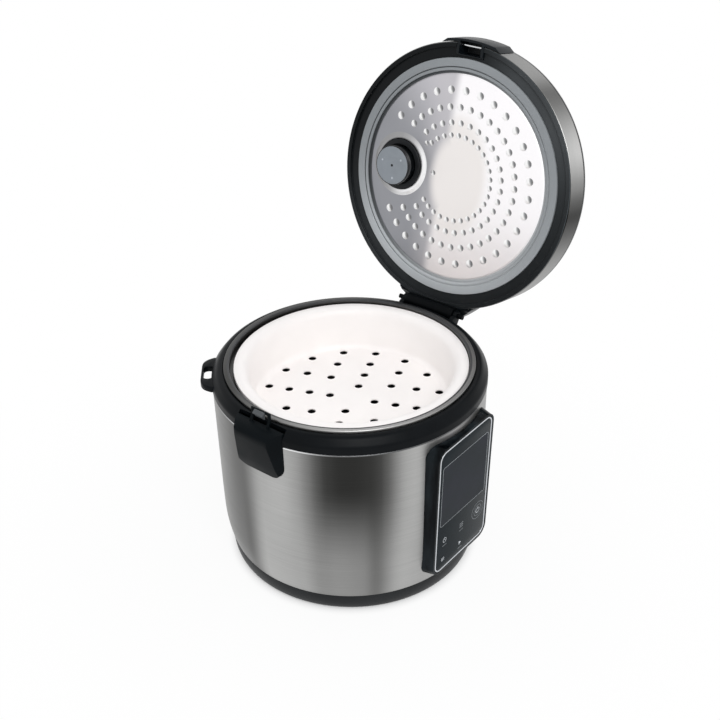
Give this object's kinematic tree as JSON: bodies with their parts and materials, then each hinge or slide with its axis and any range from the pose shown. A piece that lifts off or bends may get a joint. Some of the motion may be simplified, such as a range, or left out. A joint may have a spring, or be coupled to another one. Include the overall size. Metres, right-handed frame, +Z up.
{
  "type": "electric multicooker",
  "caption": "Round steel-clad multicooker, lid swung open on its rear hinge, lift-out pot and steamer basket, press latch, touch panel and mains inlet.",
  "frame": {"origin": "on the pot's axis, on the surface the feet stand on", "axes": "+Z up, -Y towards the control panel, +X towards the lid's hinge, -X towards the latch"},
  "size_m": [0.3763, 0.2756, 0.4788],
  "materials": {
    "black_plastic": "semi-gloss, bluish black",
    "dark_plastic": "matt",
    "gloss_black": "gloss",
    "black_rubber": "matt",
    "brushed_steel": "brushed round the body",
    "polished_steel": "polished",
    "plain_steel": "plain",
    "cast_aluminium": "cast",
    "non_stick": "dark non-stick coat, bare rolled rim",
    "white_plastic": "satin",
    "light_grey_plastic": "satin",
    "grey_plastic": "satin",
    "grey_rubber": "satin silicone",
    "silver_trim": "satin",
    "panel_glass": "gloss",
    "display_glass": "gloss",
    "circuit_board": "satin",
    "brass": "plain"
  },
  "bodies": {
    "base": {"base_cover": "black_plastic", "foot_1": "black_rubber", "foot_2": "black_rubber", "foot_3": "black_rubber", "foot_4": "black_rubber", "base_screw_1": "plain_steel", "base_screw_2": "plain_steel", "base_screw_3": "plain_steel", "base_screw_4": "plain_steel", "body_shell": "brushed_steel", "upper_rim": "black_plastic", "liner": "brushed_steel", "heating_plate": "cast_aluminium", "sensor_spring": "plain_steel", "panel_housing": "gloss_black", "panel_trim": "silver_trim", "panel_face": "panel_glass", "display_module": "display_glass", "panel_board": "circuit_board", "inlet_socket": "black_plastic", "inlet_blade_live": "brass", "inlet_blade_earth": "brass", "inlet_blade_neutral": "brass", "latch_pin": "plain_steel", "latch_spring": "plain_steel", "hinge_pin": "plain_steel", "lid_spring": "plain_steel"},
    "thermostat": {"sensor_cup": "cast_aluminium", "sensor_clip": "plain_steel"},
    "latch": {"latch_lever": "black_plastic", "latch_nose": "light_grey_plastic"},
    "pot": {"inner_pot": "non_stick"},
    "basket": {"steamer_basket": "white_plastic"},
    "lid": {"lid_ring": "black_plastic", "lid_band": "brushed_steel", "lid_arm": "black_plastic", "latch_block": "black_plastic", "catch_bar": "polished_steel", "lid_cover": "gloss_black", "lid_gasket": "grey_rubber", "inner_plate": "polished_steel", "steam_duct": "dark_plastic"},
    "inner_valve": {"valve_cap": "grey_plastic"},
    "steam_vent": {"vent_cap": "black_plastic"}
  },
  "joints": [
    {"name": "lid_hinge", "type": "hinge", "parent": "base", "child": "lid", "pos_m": [0.1377, 0, 0.2092], "axis": [0, 1, 0], "range_deg": [-101.8, 0], "stiffness_Nm_per_rad": 0.5, "springref_deg": 28.65},
    {"name": "latch_press", "type": "hinge", "parent": "base", "child": "latch", "pos_m": [-0.1275, 0, 0.166], "axis": [0, 1, 0], "range_deg": [0, 4], "stiffness_Nm_per_rad": 0.8, "springref_deg": -17.19},
    {"name": "thermostat_press", "type": "slide", "parent": "base", "child": "thermostat", "axis": [0, 0, 1], "range_m": [-0.002, 0], "stiffness_N_per_m": 400, "springref_m": 0.004, "deforming": ["sensor_spring"]},
    {"name": "pot_lift", "type": "slide", "parent": "base", "child": "pot", "axis": [0, 0, 1], "range_m": [0, 0.18]},
    {"name": "basket_lift", "type": "slide", "parent": "pot", "child": "basket", "axis": [0, 0, 1], "range_m": [0, 0.07]},
    {"name": "valve_cap_pull", "type": "slide", "parent": "lid", "child": "inner_valve", "axis": [-0.9789, 0, 0.2045], "range_m": [0, 0.03]},
    {"name": "vent_cap_pull", "type": "slide", "parent": "lid", "child": "steam_vent", "axis": [0.9789, 0, -0.2045], "range_m": [0, 0.025]}
  ]
}
